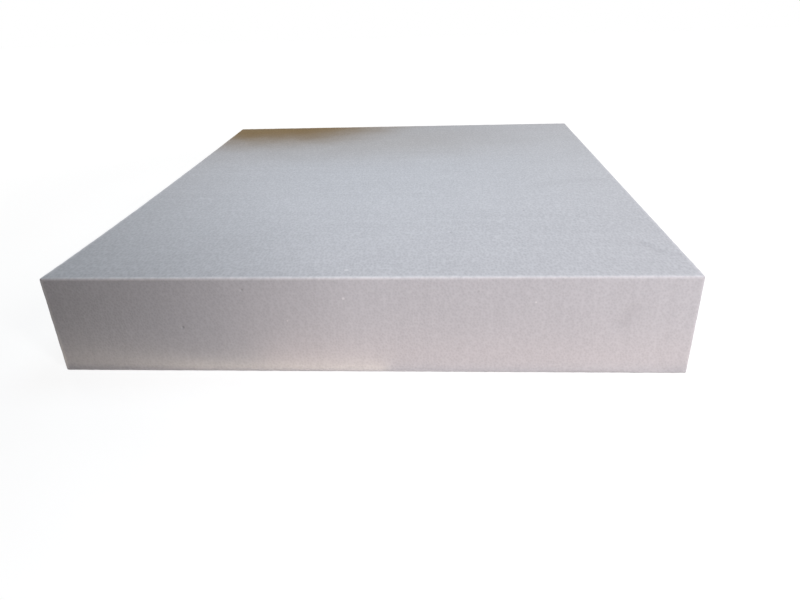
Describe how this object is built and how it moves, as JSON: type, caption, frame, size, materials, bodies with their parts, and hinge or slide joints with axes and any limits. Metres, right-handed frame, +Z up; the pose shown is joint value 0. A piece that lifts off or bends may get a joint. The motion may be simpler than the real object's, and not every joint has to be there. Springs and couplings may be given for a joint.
{
  "type": "foam block",
  "caption": "Flat rectangular block of soft pale grey foam with knife-cut sides, for padding, packing or cushioning.",
  "frame": {"origin": "middle of the underside's bounding box, on the surface that the block lies on", "axes": "+Z up through the thickness, +Y from front to back along the longest side, +X from left to right"},
  "size_m": [0.6, 0.68, 0.1],
  "materials": {
    "foam": "matt open-cell flexible foam with knife-cut faces"
  },
  "bodies": {
    "root": {"foam_block": "foam"}
  },
  "joints": []
}
